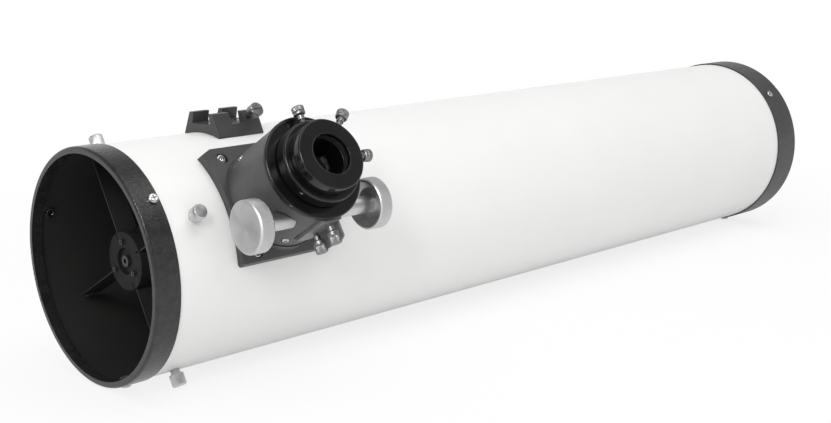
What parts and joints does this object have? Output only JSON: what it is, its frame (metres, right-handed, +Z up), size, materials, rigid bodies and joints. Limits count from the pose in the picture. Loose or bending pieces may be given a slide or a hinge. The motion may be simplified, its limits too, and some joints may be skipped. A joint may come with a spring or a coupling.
{
  "type": "newtonian telescope optical tube",
  "caption": "Long white Newtonian telescope tube with end rings, side focuser, finder shoe, four-vane secondary mirror and a main mirror on a collimating cell.",
  "frame": {"origin": "on the optical axis in the middle of the bare tube, where a cradle or a pair of tube rings closes round it", "axes": "+X runs along the optical axis from the open front end to the mirror end, +Z is up while the tube lies on its end rings, -Y is the focuser side"},
  "size_m": [0.8767, 0.2565, 0.2186],
  "materials": {
    "tube_paint": "satin white outside, flat black inside",
    "front_ring_paint": "black hammered paint",
    "rear_ring_paint": "smooth dark grey paint",
    "flat_black": "flat black",
    "cell_paint": "textured black paint",
    "focuser_grey": "bead-blasted dark grey anodising",
    "shoe_grey": "satin dark grey anodising",
    "block_grey": "satin grey anodising",
    "anodised_black": "turned black anodising",
    "turned_silver": "turned and knurled, clear anodised",
    "chrome_screws": "polished",
    "steel_small": "zinc plated",
    "brass_parts": "plain",
    "mirror_coating": "front-surface aluminium on glass",
    "cork": "cork",
    "clip_plastic": "black nylon"
  },
  "bodies": {
    "tube_assembly": {"tube": "tube_paint", "front_ring": "front_ring_paint", "rear_ring": "rear_ring_paint", "ring_screws": "chrome_screws", "mounting_screws": "chrome_screws", "tube_nuts": "steel_small", "spider_hub": "flat_black", "spider_vanes": "flat_black", "hub_screws": "steel_small", "secondary_screws": "steel_small", "focuser_base": "focuser_grey", "focuser_body": "focuser_grey", "body_screws": "chrome_screws", "top_ring": "anodised_black", "top_ring_screws": "steel_small", "roller_pins": "steel_small", "axle_bushes": "brass_parts", "axle_block": "block_grey", "finder_shoe": "shoe_grey", "cell_back": "cell_paint", "collimation_springs": "steel_small"},
    "drawtube_set": {"drawtube": "turned_silver", "eyepiece_collar": "anodised_black", "collar_clamp_ring": "brass_parts", "collar_set_screw": "steel_small"},
    "axle_set": {"focus_axle": "steel_small", "focus_knob_left": "turned_silver", "focus_knob_right": "turned_silver"},
    "adapter_set": {"adapter": "anodised_black", "adapter_clamp_ring": "brass_parts"},
    "secondary_stalk": {"secondary_bolt": "steel_small"},
    "secondary_head": {"secondary_holder": "flat_black", "secondary_mirror": "mirror_coating"},
    "mirror_unit": {"primary_mirror": "mirror_coating", "mirror_pads": "cork", "mirror_clips": "clip_plastic", "clip_screws": "steel_small", "mirror_cell": "cell_paint", "collimation_bolts": "steel_small"},
    "roller_1_body": {"roller_1": "steel_small"},
    "vane_knob_1_body": {"vane_knob_1": "turned_silver"},
    "roller_2_body": {"roller_2": "steel_small"},
    "vane_knob_2_body": {"vane_knob_2": "turned_silver"},
    "roller_3_body": {"roller_3": "steel_small"},
    "vane_knob_3_body": {"vane_knob_3": "turned_silver"},
    "roller_4_body": {"roller_4": "steel_small"},
    "vane_knob_4_body": {"vane_knob_4": "turned_silver"},
    "collar_screw_body": {"collar_screw": "turned_silver"},
    "adapter_screw_1_body": {"adapter_screw_1": "turned_silver"},
    "adapter_screw_2_body": {"adapter_screw_2": "turned_silver"},
    "tension_screw_body": {"tension_screw": "turned_silver"},
    "lock_screw_body": {"lock_screw": "turned_silver"},
    "finder_shoe_screw_body": {"finder_shoe_screw": "turned_silver"},
    "collimation_knob_1_body": {"collimation_knob_1": "turned_silver"},
    "collimation_knob_2_body": {"collimation_knob_2": "turned_silver"},
    "collimation_knob_3_body": {"collimation_knob_3": "turned_silver"},
    "cell_lock_1_body": {"cell_lock_1": "turned_silver"},
    "cell_lock_2_body": {"cell_lock_2": "turned_silver"},
    "cell_lock_3_body": {"cell_lock_3": "turned_silver"}
  },
  "joints": [
    {"name": "focus_slide", "type": "slide", "parent": "tube_assembly", "child": "drawtube_set", "axis": [0, -0.849, 0.5284], "range_m": [0, 0.034]},
    {"name": "focus_axle_turn", "type": "hinge", "parent": "tube_assembly", "child": "axle_set", "pos_m": [-0.3852, -0.12863, 0.04503], "axis": [1, 0, 0], "range_deg": [0, 805]},
    {"name": "roller_1_turn", "type": "hinge", "parent": "tube_assembly", "child": "roller_1_body", "pos_m": [-0.36328, -0.09359, 0.08902], "axis": [0.766, -0.3397, -0.5457], "range_deg": [-415, 0]},
    {"name": "roller_2_turn", "type": "hinge", "parent": "tube_assembly", "child": "roller_2_body", "pos_m": [-0.36328, -0.10437, 0.09574], "axis": [0.766, -0.3397, -0.5457], "range_deg": [-415, 0]},
    {"name": "roller_3_turn", "type": "hinge", "parent": "tube_assembly", "child": "roller_3_body", "pos_m": [-0.40712, -0.09359, 0.08902], "axis": [0.766, 0.3397, 0.5457], "range_deg": [-415, 0]},
    {"name": "roller_4_turn", "type": "hinge", "parent": "tube_assembly", "child": "roller_4_body", "pos_m": [-0.40712, -0.10437, 0.09574], "axis": [0.766, 0.3397, 0.5457], "range_deg": [-415, 0]},
    {"name": "adapter_pull", "type": "slide", "parent": "drawtube_set", "child": "adapter_set", "axis": [0, -0.849, 0.5284], "range_m": [0, 0.024]},
    {"name": "collar_screw_travel", "type": "slide", "parent": "drawtube_set", "child": "collar_screw_body", "axis": [-0.0175, 0.5284, 0.8488], "range_m": [0, 0.006]},
    {"name": "adapter_screw_1_travel", "type": "slide", "parent": "adapter_set", "child": "adapter_screw_1_body", "axis": [0.682, 0.3865, 0.6209], "range_m": [-0.006, 0.002]},
    {"name": "adapter_screw_2_travel", "type": "slide", "parent": "adapter_set", "child": "adapter_screw_2_body", "axis": [0.9945, -0.0552, -0.0887], "range_m": [-0.0005, 0.006]},
    {"name": "tension_screw_travel", "type": "slide", "parent": "tube_assembly", "child": "tension_screw_body", "axis": [0, -0.5284, -0.849], "range_m": [-0.001, 0.004]},
    {"name": "lock_screw_travel", "type": "slide", "parent": "tube_assembly", "child": "lock_screw_body", "axis": [0, -0.5284, -0.849], "range_m": [0, 0.004]},
    {"name": "finder_shoe_screw_travel", "type": "slide", "parent": "tube_assembly", "child": "finder_shoe_screw_body", "axis": [0, -0.8704, 0.4924], "range_m": [-0.005, 0.002]},
    {"name": "vane_knob_1_turn", "type": "hinge", "parent": "tube_assembly", "child": "vane_knob_1_body", "pos_m": [-0.458, -0.07867, 0.04634], "axis": [0, -0.8616, 0.5075], "range_deg": [-20, 360]},
    {"name": "vane_knob_2_turn", "type": "hinge", "parent": "tube_assembly", "child": "vane_knob_2_body", "pos_m": [-0.458, -0.04634, -0.07867], "axis": [0, -0.5075, -0.8616], "range_deg": [-20, 360]},
    {"name": "vane_knob_3_turn", "type": "hinge", "parent": "tube_assembly", "child": "vane_knob_3_body", "pos_m": [-0.458, 0.07867, -0.04634], "axis": [0, 0.8616, -0.5075], "range_deg": [-20, 360]},
    {"name": "vane_knob_4_turn", "type": "hinge", "parent": "tube_assembly", "child": "vane_knob_4_body", "pos_m": [-0.458, 0.04634, 0.07867], "axis": [0, 0.5075, 0.8616], "range_deg": [-20, 360]},
    {"name": "secondary_tilt", "type": "hinge", "parent": "tube_assembly", "child": "secondary_stalk", "pos_m": [-0.458, 0, 0], "axis": [0, 0.5284, 0.849], "range_deg": [-0.7, 0.7]},
    {"name": "secondary_spin", "type": "hinge", "parent": "secondary_stalk", "child": "secondary_head", "pos_m": [-0.458, 0, 0], "axis": [1, 0, 0], "range_deg": [-180, 180]},
    {"name": "collimation_knob_1_turn", "type": "hinge", "parent": "tube_assembly", "child": "collimation_knob_1_body", "pos_m": [0.3716, -0.04749, 0.03985], "axis": [1, 0, 0], "range_deg": [-360, 360]},
    {"name": "collimation_knob_2_turn", "type": "hinge", "parent": "tube_assembly", "child": "collimation_knob_2_body", "pos_m": [0.3716, -0.01077, -0.06106], "axis": [1, 0, 0], "range_deg": [-360, 360]},
    {"name": "collimation_knob_3_turn", "type": "hinge", "parent": "tube_assembly", "child": "collimation_knob_3_body", "pos_m": [0.3716, 0.05826, 0.02121], "axis": [1, 0, 0], "range_deg": [-360, 360]},
    {"name": "mirror_tilt", "type": "hinge", "parent": "tube_assembly", "child": "mirror_unit", "pos_m": [0.3461, 0.02375, -0.01993], "axis": [0, -0.6428, -0.766], "range_deg": [-0.5, 0.5], "deforming": ["collimation_springs"]},
    {"name": "cell_lock_1_travel", "type": "slide", "parent": "tube_assembly", "child": "cell_lock_1_body", "axis": [1, 0, 0], "range_m": [-0.0003, 0.004]},
    {"name": "cell_lock_2_travel", "type": "slide", "parent": "tube_assembly", "child": "cell_lock_2_body", "axis": [1, 0, 0], "range_m": [-0.0003, 0.004]},
    {"name": "cell_lock_3_travel", "type": "slide", "parent": "tube_assembly", "child": "cell_lock_3_body", "axis": [1, 0, 0], "range_m": [-0.0003, 0.004]}
  ],
  "couplings": [
    {"joint": "focus_axle_turn", "follows": "focus_slide", "rad_per_m": 400},
    {"joint": "roller_1_turn", "follows": "focus_slide", "rad_per_m": -200},
    {"joint": "roller_2_turn", "follows": "focus_slide", "rad_per_m": -200},
    {"joint": "roller_3_turn", "follows": "focus_slide", "rad_per_m": -200},
    {"joint": "roller_4_turn", "follows": "focus_slide", "rad_per_m": -200},
    {"joint": "mirror_tilt", "follows": "collimation_knob_1_turn", "ratio": 0.0013691}
  ]
}
